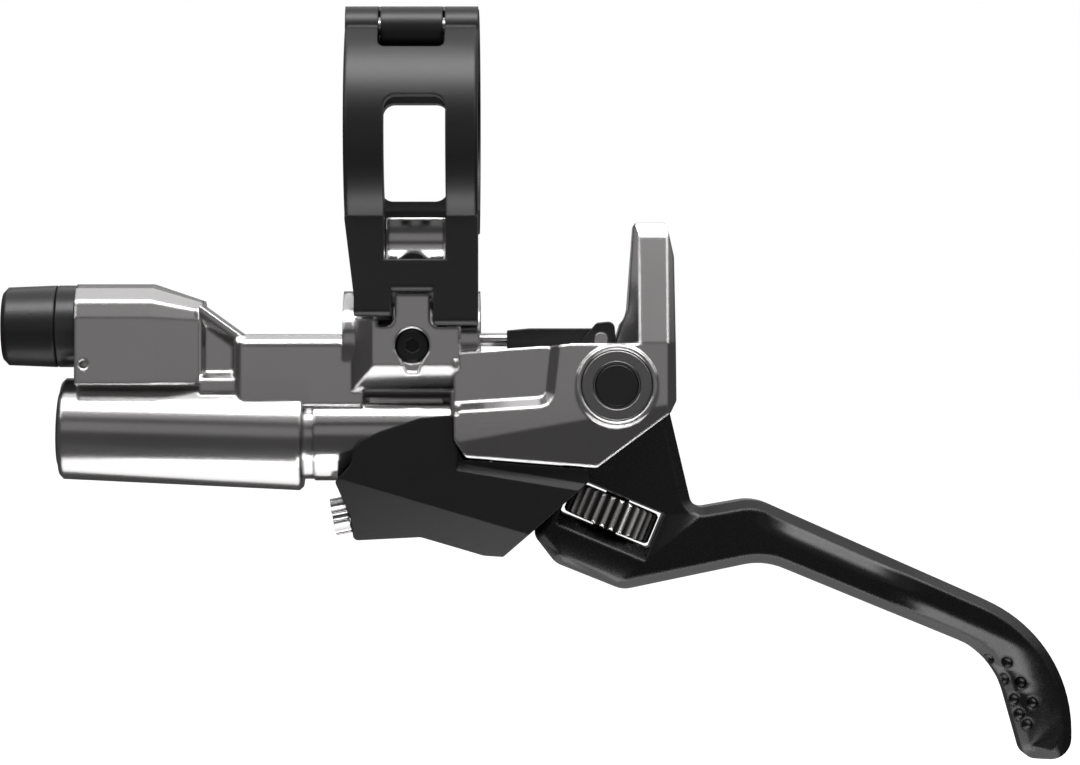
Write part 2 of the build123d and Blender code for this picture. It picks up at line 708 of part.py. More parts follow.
def reservoir_bladder():
    """Rubber sleeve, closed at its inner end, that gives way as the fluid level changes."""
    outer_radius = barrel_start_radius - barrel_wall - body_gap
    start = cap_length - cap_rise + seat_fit
    outer = Part() + Solid.make_cylinder(outer_radius, bladder_length, barrel_plane(start))
    outer = chamfer(outer.faces().sort_by(Axis.X)[-1].edges(), bladder_edge)
    core_length = bladder_length - bladder_wall
    return outer - Solid.make_cylinder(outer_radius - bladder_wall, core_length, barrel_plane(start))


def bleed_screw():
    """Low screw that closes the blind hole in the plate."""
    floor = keyhole_depth - plate_half
    top = floor - bleed_head
    head = rod_y(top, floor, keyhole_x, keyhole_z, keyhole_radius - running_fit)
    part = chamfer(head.faces().sort_by(Axis.Y)[0].edges(), bleed_edge)
    socket = Plane(origin=(keyhole_x, top, keyhole_z), z_dir=(0, 1, 0)) * hexagon(bleed_socket_across)
    return part - extrude(socket, amount=bleed_socket_depth)


def return_spring():
    """Coil about the x axis between the floor of the bore and the piston, of a few flats round."""
    clear = spring_wire / 2 + running_fit
    length = piston_start - bore_start - 2 * clear
    plane = Plane(origin=(bore_start + clear, 0, bore_z), z_dir=(1, 0, 0))
    path = plane * Helix(pitch=length / spring_turns, height=length, radius=spring_radius)
    wire = Plane(path @ 0, z_dir=path % 0) * RegularPolygon(spring_wire / 2, 6)
    return Part() + sweep(wire, path=path)


def piston_retainer():
    end = bore_end - retainer_inset
    ring = rod_x(end - retainer_width, end, 0, bore_z, bore_radius - seat_fit)
    return ring - rod_x(bore_start, bore_end, 0, bore_z, retainer_hole_radius)


def bore_ring(span, inner):
    ring = rod_x(span[0], span[1], 0, bore_z, bore_radius - running_fit)
    return ring - rod_x(span[0], span[1], 0, bore_z, inner)


def piston():
    """Stepped piston with two seal grooves, a waist and a conical cup for the pushrod's ball."""
    part = rod_x(piston_start, piston_end, 0, bore_z, bore_radius - running_fit)
    for span in (primary_groove, secondary_groove):
        part -= bore_ring(span, piston_groove_radius)
    part -= bore_ring(piston_waist, piston_waist_radius)
    cup = rod_ball_radius + ball_gap
    part -= rod_x(rod_ball_x - cup * sqrt(2), rod_ball_x, 0, bore_z, running_fit, cup * sqrt(2))
    return part - rod_x(rod_ball_x, piston_end + overshoot, 0, bore_z, cup * sqrt(2))


def piston_seal(groove):
    span = (groove[0] + seat_fit, groove[1] - seat_fit)
    return bore_ring(span, piston_groove_radius + seat_fit)


def primary_seal():
    return piston_seal(primary_groove)


def secondary_seal():
    return piston_seal(secondary_groove)


def pushrod():
    """Rod with a turned ball end; the ball is a few cones round."""
    part = rod_x(rod_ball_x, clevis_start + clevis_grip, 0, bore_z, rod_radius)
    turns = [radians(180 * step / rod_ball_cones) for step in range(rod_ball_cones + 1)]
    outline = [(rod_ball_radius * -cos(turn), rod_ball_radius * sin(turn)) for turn in turns]
    ball = revolve(make_face(Polyline(*outline, close=True)), Axis.X)
    return part + Pos(rod_ball_x, 0, bore_z) * ball


def pushrod_clevis():
    """Black end of the pushrod, tapered towards the rod and bored for the link's pin."""
    high, low = rod_pin_z + clevis_half_height, rod_pin_z - clevis_half_height
    nose = rod_radius + clevis_wall
    corners = [
        (clevis_start, rod_pin_z + nose),
        (clevis_taper, high),
        (rod_pin_x, high),
        (rod_pin_x, low),
        (clevis_taper, low),
        (clevis_start, rod_pin_z - nose),
    ]
    radii = [clevis_edge, clevis_bend, 0, 0, clevis_bend, clevis_edge]
    part = slab(corners, radii, -rod_eye_half, rod_eye_half)
    part += rod_y(-rod_eye_half, rod_eye_half, rod_pin_x, rod_pin_z, rod_eye_radius)
    part -= rod_y(-rod_eye_half, rod_eye_half, rod_pin_x, rod_pin_z, rod_pin_radius + running_fit)
    start, end = clevis_start - overshoot, clevis_start + clevis_grip
    return part - rod_x(start, end, 0, rod_pin_z, rod_radius + seat_fit)


def pushrod_pin():
    return rod_y(-link_half, link_half, rod_pin_x, rod_pin_z, rod_pin_radius)


def on_knob(along, across):
    """Point at distances along the reach adjuster's axis and across it."""
    axis_x, axis_z = knob_axis
    return knob_x + along * axis_x + across * axis_z, knob_z + along * axis_z - across * axis_x


def knob_plane(along):
    x, z = on_knob(along, 0)
    return Plane(origin=(x, 0, z), x_dir=(0, 1, 0), z_dir=(knob_axis[0], 0, knob_axis[1]))


def knob_cylinder(start, end, radius):
    return Part() + Solid.make_cylinder(radius, end - start, knob_plane(start))


def swing_link():
    """Inner lever: an eye, a forked upper arm for the pushrod and an anvil for the reach screw."""
    part = rod_y(-link_half, link_half, pivot_x, pivot_z, link_eye_radius)
    part += plate_of(link_arm, -link_half, link_half)
    low = reach_screw_tip + anvil_gap
    anvil = [
        on_knob(low, -anvil_half),
        on_knob(low, anvil_half),
        on_knob(low + anvil_left, anvil_half),
        on_knob(low + anvil_right, -anvil_half),
    ]
    part += slab(anvil, [anvil_edge, anvil_edge, anvil_bend, 0], -link_half, link_half)
    left, top = rod_pin_x - 2 * link_eye_radius, rod_pin_z + link_eye_radius
    fork = [(left, top), (link_fork_right, top), (link_fork_right, link_fork_floor), (left, link_fork_floor)]
    part -= slab(fork, [0, 0, anvil_edge, 0], -link_fork_half, link_fork_half)
    part -= rod_y(-link_half, link_half, rod_pin_x, rod_pin_z, rod_pin_radius + seat_fit)
    return part - rod_y(-link_half, link_half, pivot_x, pivot_z, bearing_radius + seat_fit)


def pivot_sleeve(y0, y1, radius, fit):
    """Plain bearing on the pivot axle."""
    sleeve = rod_y(y0, y1, pivot_x, pivot_z, radius)
    return sleeve - rod_y(y0, y1, pivot_x, pivot_z, axle_radius + fit)


def link_bushing():
    return pivot_sleeve(-link_half, link_half, bearing_radius, running_fit)


def blade_bushings():
    """Two flanged bushings, one in each cheek of the blade."""
    part = Part()
    for y0, y1 in sides(blade_slot_half, blade_half + blade_flange):
        part += pivot_sleeve(y0, y1, bearing_radius, running_fit)
    for y0, y1 in sides(blade_half, blade_half + blade_flange):
        part += pivot_sleeve(y0, y1, bearing_radius + blade_flange_rim, running_fit)
    return part


def pivot_bushing(side):
    """Flanged bushing in an ear; its flange is the grey ring round the pivot."""
    face = ear_outer + boss_rise
    part = pivot_sleeve(*sorted((side * ear_inner, side * face)), bushing_radius, seat_fit)
    seat = face - bushing_flange
    flange = rod_y(*sorted((side * seat, side * face)), pivot_x, pivot_z, bushing_flange_radius)
    rim = flange.faces().sort_by(Axis.Y)[0 if side < 0 else -1].edges()
    part += chamfer(rim, bushing_edge)
    recess = sorted((side * seat, side * (face + overshoot)))
    part -= rod_y(*recess, pivot_x, pivot_z, axle_head_radius + axle_head_gap)
    return part - rod_y(-face, face, pivot_x, pivot_z, axle_radius + seat_fit)


def pivot_bushing_front():
    return pivot_bushing(-1)


def pivot_bushing_rear():
    return pivot_bushing(1)


def pivot_axle():
    """Pin with a low head at the front and a groove for the clip at the rear."""
    face = ear_outer + boss_rise
    seat = face - bushing_flange
    part = rod_y(-seat, face - axle_head_depth, pivot_x, pivot_z, axle_radius)
    head = rod_y(-face + axle_head_depth, -seat, pivot_x, pivot_z, axle_head_radius)
    part += chamfer(head.faces().sort_by(Axis.Y)[0].edges(), axle_head_edge)
    groove = rod_y(seat, seat + clip_thickness, pivot_x, pivot_z, axle_head_radius)
    return part - (groove - rod_y(seat, seat + clip_thickness, pivot_x, pivot_z, clip_groove_radius))


def axle_clip():
    """Open ring in the axle's groove."""
    seat = ear_outer + boss_rise - bushing_flange
    end = seat + clip_thickness - seat_fit
    ring = rod_y(seat, end, pivot_x, pivot_z, axle_head_radius + seat_fit)
    ring -= rod_y(seat, end, pivot_x, pivot_z, clip_groove_radius + seat_fit)
    return ring - block(
        pivot_x - clip_mouth, pivot_x + clip_mouth, seat, end, pivot_z, pivot_z + 2 * axle_head_radius
    )


def lever_blade():
    """Forged blade: two cheeks at the pivot, a window for the wheel and a hooked finger end."""
    part = plate_of(blade_outline, -blade_half, blade_half)
    part = chamfer(part.faces().filter_by(Axis.Y).edges(), blade_edge)
    top = blade_slot_bottom + 3 * knob_radius
    slot = [
        on_knob(blade_slot_bottom, -2 * knob_radius),
        on_knob(blade_slot_bottom, blade_slot_side),
        on_knob(top, blade_slot_side),
        on_knob(top, -2 * knob_radius),
    ]
    part -= slab(slot, [0, blade_slot_corner, 0, 0], -blade_slot_half, blade_slot_half)
    # Window round the wheel, with a slanted ledge below it on each side
    length = knob_radius + window_gap_end
    height = knob_thickness / 2 + window_gap_side
    top_left, top_right = on_knob(height, -length), on_knob(height, length)
    window = [on_knob(-height, -length), on_knob(-height, length), top_right, top_left]
    part -= slab(window, [window_rounding] * 4, -blade_half, blade_half)
    low = -height - window_ledge
    left, right = on_knob(low, -length), on_knob(low, length)
    lean = degrees(atan2(window_ledge_depth, window_ledge))
    for side in (-1, 1):
        # A line from right to left makes the face lean in above it
        ledge = slab([left, right, top_right, top_left], [0] * 4, -blade_half, blade_half)
        part -= ledge & outside(side, blade_half, right, left, lean)
    hole_end = reach_screw_start - reach_screw_room
    part -= knob_cylinder(hole_end, blade_slot_bottom + overshoot, reach_screw_radius + running_fit)
    return part - rod_y(-blade_half, blade_half, pivot_x, pivot_z, bearing_radius + seat_fit)


def reach_knob():
    """Ridged wheel with a threaded bore; each ridge is what two neighbouring notches leave."""
    half = knob_thickness / 2
    part = knob_cylinder(-half, half, knob_radius)
    part = chamfer(part.edges().filter_by(GeomType.CIRCLE), knob_edge)
    part -= knob_cylinder(-half, half, reach_screw_radius + running_fit)
    notches = Sketch() + PolarLocations(knob_radius + running_fit, knob_ridges) * RegularPolygon(
        knob_ridge_size, 4
    )
    return part - extrude(knob_plane(-half) * notches, amount=knob_thickness)


def reach_screw():
    """Screw with a domed tip that bears on the link's anvil."""
    screw = knob_cylinder(reach_screw_start, reach_screw_tip, reach_screw_radius)
    return chamfer(screw.faces().sort_by(Axis.Z)[-1].edges(), reach_screw_dome)


def linkage_cover():
    """Moulded shell under the body, open above and towards the blade."""
    part = plate_of(cover_outline, -cover_half, cover_half)
    half = cover_half - cover_wall
    cavity = plate_of(cover_inside, -half, half)
    for side in (-1, 1):
        low = cover_bevel_left, cover_bevel_right, cover_bevel_angle
        part -= outside(side, cover_half, *low)
        cavity -= outside(side, cover_half, *low, cover_wall)
    part -= cavity
    # Thin lip under the ears; a line from right to left makes the slope above it lean in
    for y0, y1 in sides(cover_half - cover_step_depth, cover_half):
        side = 1 if y0 > 0 else -1
        slope = outside(side, cover_half, cover_step_right, cover_step_left, cover_step_angle)
        part -= slope & block(cover_step_left[0], pivot_x, y0, y1, 2 * pivot_z, 0)
    part -= rod_x(-2 * cover_half, 2 * cover_half, 0, tube_z, tube_radius + body_gap)
    hole = cover_screw_shank + clamp_bolt_clearance
    return part - cover_screw_cylinder(-cover_screw_length, overshoot, hole)


def cover_screw_plane(distance):
    """Plane across the cover screw; distances run outwards from under its head."""
    tilt = radians(cover_screw_tilt)
    outward = Vector(-cos(tilt), 0, -sin(tilt))
    seat = Vector(cover_screw_x, 0, cover_screw_z) - outward * (cover_screw_head / 2)
    return Plane(origin=seat + outward * distance, x_dir=(0, 1, 0), z_dir=outward)


def cover_screw_cylinder(start, end, radius):
    return Part() + Solid.make_cylinder(radius, end - start, cover_screw_plane(start))


def cover_screw():
    """Fluted head and a short shank that holds the cover to the housing's lug."""
    part = cover_screw_cylinder(0, cover_screw_head, cover_screw_radius)
    part += cover_screw_cylinder(-cover_screw_length, 0, cover_screw_shank)
    flutes = Sketch() + PolarLocations(cover_screw_radius + flute_offset, cover_screw_flutes) * Circle(
        flute_radius
    )
    return part - extrude(cover_screw_plane(0) * flutes, amount=cover_screw_head)


PARTS = {
    "housing": housing,
    "clamp_band_front": clamp_band_front,
    "clamp_band_rear": clamp_band_rear,
    "clamp_hinge_pin": clamp_hinge_pin,
    "clamp_bolt": clamp_bolt,
    "hose_nut": hose_nut,
    "hose_nut_boot": hose_nut_boot,
    "reservoir_cap": reservoir_cap,
    "reservoir_seal": reservoir_seal,
    "reservoir_bladder": reservoir_bladder,
    "bleed_screw": bleed_screw,
    "return_spring": return_spring,
    "piston_retainer": piston_retainer,
    "piston": piston,
    "primary_seal": primary_seal,
    "secondary_seal": secondary_seal,
    "pushrod": pushrod,
    "pushrod_clevis": pushrod_clevis,
    "pushrod_pin": pushrod_pin,
    "swing_link": swing_link,
    "link_bushing": link_bushing,
    "blade_bushings": blade_bushings,
    "pivot_bushing_front": pivot_bushing_front,
    "pivot_bushing_rear": pivot_bushing_rear,
    "pivot_axle": pivot_axle,
    "axle_clip": axle_clip,
    "lever_blade": lever_blade,
    "reach_knob": reach_knob,
    "reach_screw": reach_screw,
    "linkage_cover": linkage_cover,
    "cover_screw": cover_screw,
}

os.makedirs("parts", exist_ok=True)
for name, make in PARTS.items():
    export_step(make(), f"parts/{name}.step")
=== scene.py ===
import math

import bmesh
import bpy
from mathutils import Matrix, Vector
from mathutils.bvhtree import BVHTree


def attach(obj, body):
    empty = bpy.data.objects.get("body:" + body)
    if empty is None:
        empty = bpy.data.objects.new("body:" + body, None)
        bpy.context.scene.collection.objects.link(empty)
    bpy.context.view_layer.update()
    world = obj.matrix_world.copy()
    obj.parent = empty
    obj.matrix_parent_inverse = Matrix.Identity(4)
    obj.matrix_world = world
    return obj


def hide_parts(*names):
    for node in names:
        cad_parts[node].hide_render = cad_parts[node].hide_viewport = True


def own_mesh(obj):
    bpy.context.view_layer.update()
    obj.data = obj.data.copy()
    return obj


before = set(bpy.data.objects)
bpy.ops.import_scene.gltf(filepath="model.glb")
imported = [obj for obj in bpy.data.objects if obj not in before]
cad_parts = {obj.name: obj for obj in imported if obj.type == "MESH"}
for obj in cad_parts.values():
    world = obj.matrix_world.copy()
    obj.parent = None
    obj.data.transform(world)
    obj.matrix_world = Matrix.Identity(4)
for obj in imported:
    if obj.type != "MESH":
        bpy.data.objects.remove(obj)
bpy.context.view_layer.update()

# Camera: a long lens, level with the brake lever and square to the handlebar, so that the clamp is seen
# from its side and every edge along the bar stays level.
camera_distance = 0.5
picture_width = 0.1296
picture_middle_x, picture_middle_z = 0.01516, -0.03024
camera_data = bpy.data.cameras.new("camera")
camera_data.sensor_width = 36.0
camera_data.lens = camera_data.sensor_width * camera_distance / picture_width
camera_data.clip_start = 0.01
camera = bpy.data.objects.new("camera", camera_data)
camera.location = (picture_middle_x, -camera_distance, picture_middle_z)
camera.rotation_euler = (math.radians(90), 0, 0)
bpy.context.scene.collection.objects.link(camera)
bpy.context.scene.camera = camera
bpy.context.scene.view_settings.view_transform = "Standard"


# World: a white studio. It gives soft light of a plain level, and whatever looks past the object, directly
# or in a reflection, sees plain white.
class Number:
    """A number socket that adds Math nodes when Python maths is done with it."""

    def __init__(self, shades, socket):
        self.shades, self.socket = shades, socket

    def maths(self, operation, *values):
        node = self.shades.node("ShaderNodeMath", {"operation": operation}, dict(enumerate(values)))
        return Number(self.shades, node.outputs[0])

    def __add__(self, other):
        return self.maths("ADD", self, other)

    def __rsub__(self, other):
        return self.maths("SUBTRACT", other, self)

    def __mul__(self, other):
        return self.maths("MULTIPLY", self, other)

    def between(self, low, high):
        """0 up to low, 1 from high, and a smooth rise between them."""
        settings = {"interpolation_type": "SMOOTHSTEP"}
        inputs = {"Value": self, "From Min": low, "From Max": high}
        return Number(self.shades, self.shades.node("ShaderNodeMapRange", settings, inputs).outputs[0])


class Shades:
    """A tree of shader nodes."""

    def __init__(self, tree):
        self.tree = tree

    def node(self, kind, settings=None, inputs=None):
        node = self.tree.nodes.new(kind)
        for name, value in (settings or {}).items():
            setattr(node, name, value)
        for socket, value in (inputs or {}).items():
            self.give(node.inputs[socket], value)
        return node

    def give(self, socket, value):
        if isinstance(value, Number):
            value = value.socket
        if isinstance(value, bpy.types.NodeSocket):
            self.tree.links.new(value, socket)
        else:
            socket.default_value = value

    def seen(self):
        """1 where the camera, a reflection or a look through glass meets this, and 0 for plain light."""
        path = self.node("ShaderNodeLightPath").outputs
        looks = Number(self, path["Is Camera Ray"])
        for look in ("Is Glossy Ray", "Is Transmission Ray"):
            looks = looks.maths("MAXIMUM", looks, path[look])
        return looks

    def blend(self, amount, low, high):
        """A colour from low to high by the amount; each is a colour or the output of a node."""
        ends = [(*end, 1) if isinstance(end, tuple) else end for end in (low, high)]
        # A Mix node takes its two colours on sockets 6 and 7 and gives the blend on output 2
        inputs = {0: amount, 6: ends[0], 7: ends[1]}
        return self.node("ShaderNodeMix", {"data_type": "RGBA"}, inputs).outputs[2]


sky_light = 0.55
world = bpy.data.worlds.new("studio")
bpy.context.scene.world = world
world.use_nodes = True
sky = Shades(world.node_tree)
background = world.node_tree.nodes["Background"].inputs
background["Color"].default_value = (1, 1, 1, 1)
sky.give(background["Strength"], sky.seen() * (1 - sky_light) + sky_light)


# Floor: a wide matt white card below the part. It glows where it is seen, so that it stays white to its far
# edge, and it keeps the soft shadow of the part.
class Finish(Shades):
    """A material: constants go on its shader, and its nodes add whatever varies over the surface."""

    def __init__(self, name, **constants):
        self.material = bpy.data.materials.new(name)
        self.material.use_nodes = True
        super().__init__(self.material.node_tree)
        self.shader = self.tree.nodes["Principled BSDF"].inputs
        for socket, value in constants.items():
            self.shader[socket.replace("_", " ")].default_value = value

    def place(self):
        return self.node("ShaderNodeTexCoord").outputs["Object"]

    def axis(self, letter):
        """How far along X, Y or Z each spot of the surface lies."""
        return Number(self, self.node("ShaderNodeSeparateXYZ", {}, {0: self.place()}).outputs[letter])


def stage_piece(name, mesh, finish):
    """A piece of the studio, made from a bmesh."""
    data = bpy.data.meshes.new(name)
    mesh.to_mesh(data)
    mesh.free()
    data.materials.append(finish.material)
    piece = bpy.data.objects.new(name, data)
    bpy.context.scene.collection.objects.link(piece)
    return piece


floor_size = 40.0
floor_height = -0.12
floor_glow = 0.62
card = Finish(
    "white_card", Base_Color=(0.8, 0.8, 0.8, 1), Roughness=0.9, Specular_IOR_Level=0.1, Emission_Strength=1.0
)
card.give(card.shader["Emission Color"], card.blend(card.seen(), (0, 0, 0), (floor_glow,) * 3))
floor_mesh = bmesh.new()
bmesh.ops.create_grid(floor_mesh, x_segments=1, y_segments=1, size=floor_size / 2)
bmesh.ops.translate(floor_mesh, verts=floor_mesh.verts, vec=(0, 0, floor_height))
stage_piece("floor", floor_mesh, card)

# Drape: a long bowl of cloth round the part that only reflections see. It is grey level with the part, dark
# below it, just above it and past its ends, and lighter towards its top. It keeps the polished flats grey,
# while their edges catch the white above and below.
drape_low, drape_high = -0.113, 0.5
drape_low_radius, drape_high_radius, drape_stretch = 0.055, 0.6, 1.5
drape_middle_x, drape_segments = 0.015, 96
drape_dark, drape_grey, drape_light = (0.075, 0.073, 0.073), (0.27, 0.266, 0.266), (0.34, 0.335, 0.335)
grey_left, grey_right = (-0.13, -0.08), (0.1, 0.15)
grey_low, grey_high, light_low = (-0.05, -0.034), (0.0, 0.03), (0.05, 0.12)
cloth = Finish(
    "grey_cloth", Base_Color=(0, 0, 0, 1), Roughness=1.0, Specular_IOR_Level=0.0, Emission_Strength=1.0
)
cloth_side, cloth_height = cloth.axis("X"), cloth.axis("Z")
middle = (1 - cloth_side.between(*grey_right)) * cloth_side.between(*grey_left)
level = cloth_height.between(*grey_low) * (1 - cloth_height.between(*grey_high)) * middle
cloth_below = cloth.blend(level, drape_dark, drape_grey)
cloth_colour = cloth.blend(cloth_height.between(*light_low), cloth_below, drape_light)
cloth.give(cloth.shader["Emission Color"], cloth_colour)
drape_mesh = bmesh.new()
bmesh.ops.create_cone(
    drape_mesh, segments=drape_segments, radius1=drape_low_radius, radius2=drape_high_radius,
    depth=drape_high - drape_low,
)
bmesh.ops.scale(drape_mesh, verts=drape_mesh.verts, vec=(drape_stretch, 1, 1))
drape_middle_z = (drape_high + drape_low) / 2
bmesh.ops.translate(drape_mesh, verts=drape_mesh.verts, vec=(drape_middle_x, 0, drape_middle_z))
drape = stage_piece("drape", drape_mesh, cloth)
drape.visible_camera = False
drape.visible_diffuse = False
drape.visible_shadow = False
drape.visible_transmission = False


# Lamps: long soft boxes above, to the left, to the right and behind, and a narrow one close below. The
# camera sees none of them, and the drape keeps the one behind out of the reflections.
def lamp(name, place, aim, width, height, watts):
    data = bpy.data.lights.new(name, "AREA")
    data.shape = "RECTANGLE"
    data.size, data.size_y = width, height
    data.energy = watts
    light = bpy.data.objects.new(name, data)
    light.location = place
    light.rotation_euler = (Vector(aim) - Vector(place)).to_track_quat("-Z", "Y").to_euler()
    light.visible_camera = False
    bpy.context.scene.collection.objects.link(light)


lamp("lamp_above", place=(0.02, -0.24, 0.36), aim=(0.01, 0.0, -0.03), width=0.6, height=0.2, watts=2.5)
lamp("lamp_left", place=(-0.2, -0.1, 0.12), aim=(0.0, 0.0, -0.03), width=0.09, height=0.2, watts=0.16)
lamp("lamp_right", place=(0.24, -0.08, 0.12), aim=(0.03, 0.0, -0.03), width=0.07, height=0.2, watts=0.12)
lamp("lamp_back", place=(0.0, 0.5, 0.3), aim=(0.0, 0.0, -0.03), width=0.6, height=0.14, watts=1.6)
lamp("lamp_low", place=(0.03, -0.045, -0.115), aim=(0.03, 0.0, -0.04), width=0.2, height=0.03, watts=0.08)


# Housing: one aluminium forging, machined, polished and clear anodised. Its edges are polished brightest,
# and the turned barrel of the reservoir keeps a satin grain round its axis.
class Surface(Finish):
    """The finish of one of the part's own pieces, with its grain and its rounded edges."""

    def __init__(self, name, edge, **constants):
        super().__init__(name, **constants)
        self.rounded = self.node("ShaderNodeBevel", {"samples": 6}, {"Radius": edge}).outputs[0]

    def noise(self, scale, detail=2.0, stretch=(1, 1, 1)):
        place = self.node("ShaderNodeMapping", {}, {"Vector": self.place(), "Scale": stretch}).outputs[0]
        inputs = {"Vector": place, "Scale": scale, "Detail": detail}
        return Number(self, self.node("ShaderNodeTexNoise", {}, inputs).outputs["Fac"])

    def edges(self, gain):
        """0 on open faces and up to 1 where the rounded edge turns away from its face."""
        face = self.node("ShaderNodeNewGeometry").outputs["True Normal"]
        along = self.node("ShaderNodeVectorMath", {"operation": "DOT_PRODUCT"}, {0: self.rounded, 1: face})
        turned = (1 - Number(self, along.outputs["Value"])) * gain
        return turned.maths("MINIMUM", turned, 1.0)

    def height(self, grain, depth):
        inputs = {"Height": grain, "Distance": depth, "Normal": self.rounded}
        self.give(self.shader["Normal"], self.node("ShaderNodeBump", {}, inputs).outputs[0])

    def put_on(self, *nodes):
        for name in nodes:
            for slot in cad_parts[name].material_slots:
                slot.material = self.material


barrel_end_x, barrel_top_z = -0.0125, -0.0298
barrel_fade_x, barrel_fade_z = 0.0005, 0.0006
alloy_dark, alloy_light, alloy_edge = (0.53, 0.522, 0.52), (0.60, 0.592, 0.59), (0.78, 0.775, 0.77)
polish_gloss, satin_gloss, gloss_drift = 0.14, 0.19, 0.05
polished = Surface("polished_alloy", edge=0.0006, Metallic=1.0)
right_of_barrel = polished.axis("X").between(barrel_end_x, barrel_end_x + barrel_fade_x)
above_barrel = polished.axis("Z").between(barrel_top_z, barrel_top_z + barrel_fade_z)
barrel = (1 - right_of_barrel) * (1 - above_barrel)
drift = polished.noise(scale=70.0, detail=3.0)
alloy = polished.blend(drift, alloy_dark, alloy_light)
polished.give(polished.shader["Base Color"], polished.blend(polished.edges(gain=2.5), alloy, alloy_edge))
turned_grain = polished.noise(scale=900.0, stretch=(1.0, 0.12, 0.12))
blast_grain = polished.noise(scale=2600.0)
gloss = drift * gloss_drift + (polish_gloss - gloss_drift / 2) + barrel * (satin_gloss - polish_gloss)
polished.give(polished.shader["Roughness"], gloss)
polished.height(blast_grain + turned_grain * barrel, depth=0.000004)
polished.put_on("housing")


# Hose nut: a compression nut of dark anodised aluminium. It screws into the housing's port, and the boot is
# pressed over its stem.
def fine_grain(finish, grain, roughness, spread, depth):
    """A grain that varies the gloss about the roughness and stands up by the depth."""
    fine = finish.noise(grain, detail=3.0)
    finish.give(finish.shader["Roughness"], fine * spread + (roughness - spread / 2))
    finish.height(fine, depth)


def metal(
    name, edge, dark, light, worn, roughness, spread, grain, depth, metallic=1.0, edge_gain=1.6, **constants
):
    """Metal whose colour and gloss drift a little, with a fine grain and edges that are rubbed."""
    finish = Surface(name, edge, Metallic=metallic, **constants)
    body = finish.blend(finish.noise(scale=110.0, detail=4.0), dark, light)
    finish.give(finish.shader["Base Color"], finish.blend(finish.edges(edge_gain), body, worn))
    fine_grain(finish, grain, roughness, spread, depth)
    return finish


nut = metal(
    "nut_anodised",
    dark=(0.018, 0.018, 0.019), light=(0.032, 0.032, 0.034), worn=(0.10, 0.10, 0.102),
    edge=0.00015, roughness=0.3, spread=0.1, grain=1500.0, depth=0.000005, metallic=0.5,
)
nut.put_on("hose_nut")


# Boot: black moulded plastic like rubber, satin, with the fine spark-eroded grain of its mould. It is pushed
# over the stem of the nut.
def moulded(name, edge, dark, light, roughness, spread, grain, depth, **constants):
    """Moulded plastic or rubber: a coarse drift of colour and the mould's fine grain."""
    finish = Surface(name, edge, Metallic=0.0, **constants)
    drift = finish.noise(scale=160.0, detail=5.0)
    finish.give(finish.shader["Base Color"], finish.blend(drift, dark, light))
    fine_grain(finish, grain, roughness, spread, depth)
    return finish


boot = moulded(
    "boot_plastic",
    dark=(0.0025, 0.0025, 0.0027), light=(0.005, 0.005, 0.0052),
    edge=0.0004, roughness=0.36, spread=0.1, grain=2400.0, depth=0.000008, Specular_IOR_Level=0.5,
)
boot.put_on("hose_nut_boot")

# Reservoir cap: turned aluminium, hard anodised grey, screwed into the open end of the barrel with a hexagon
# key.
cap = metal(
    "cap_anodised",
    dark=(0.10, 0.10, 0.104), light=(0.16, 0.16, 0.165), worn=(0.34, 0.34, 0.345),
    edge=0.0002, roughness=0.3, spread=0.1, grain=1500.0, depth=0.000005,
)
cap.put_on("reservoir_cap")

# Seals and bladder: black nitrile rubber, moulded and slightly dusty from the mould. The rings are stretched
# into their grooves, and the bladder is pushed into the barrel.
rubber = moulded(
    "nitrile_rubber",
    dark=(0.010, 0.010, 0.010), light=(0.024, 0.024, 0.024),
    edge=0.0002, roughness=0.6, spread=0.15, grain=1800.0, depth=0.00001,
)
rubber.put_on("reservoir_seal", "reservoir_bladder", "primary_seal", "secondary_seal")

# Piston: turned aluminium, hard anodised to a warm grey, polished where it slides. It is pushed into its bore
# with both seals on it.
piston = metal(
    "piston_anodised",
    dark=(0.14, 0.135, 0.12), light=(0.22, 0.21, 0.19), worn=(0.4, 0.39, 0.37),
    edge=0.00015, roughness=0.24, spread=0.08, grain=1700.0, depth=0.000004,
)
piston.put_on("piston")

# Retainer, rod, its pin and the clamp's hinge pin: stainless steel, turned or drawn, and left bare. The
# retainer is pressed into the mouth of the bore, and the pins are pushed into their holes.
steel = metal(
    "stainless_steel",
    dark=(0.42, 0.41, 0.42), light=(0.56, 0.55, 0.56), worn=(0.72, 0.71, 0.72),
    edge=0.00012, roughness=0.22, spread=0.08, grain=1500.0, depth=0.000004,
)
steel.put_on("piston_retainer", "pushrod", "pushrod_pin", "clamp_hinge_pin")

# Return spring: stainless wire, wound cold in three turns. It stands on the end of the bore.
merge_distance = 0.000001
smooth_angle = math.radians(14)


def merged(node):
    """A copy of a node's mesh with its loose triangles joined."""
    mesh = bmesh.new()
    mesh.from_mesh(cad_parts[node].data)
    bmesh.ops.remove_doubles(mesh, verts=mesh.verts, dist=merge_distance)
    return mesh


def fitted(name, mesh, finish, body, node):
    """A piece of the part that takes the place of one node and moves with its body."""
    data = bpy.data.meshes.new(name)
    mesh.to_mesh(data)
    mesh.free()
    data.shade_smooth()
    data.set_sharp_from_angle(angle=smooth_angle)
    data.materials.append(finish.material)
    piece = bpy.data.objects.new(name, data)
    bpy.context.scene.collection.objects.link(piece)
    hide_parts(node)
    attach(piece, body)
    return piece


coil = fitted("return_coil", merged("return_spring"), steel, "body", "return_spring")
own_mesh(coil)

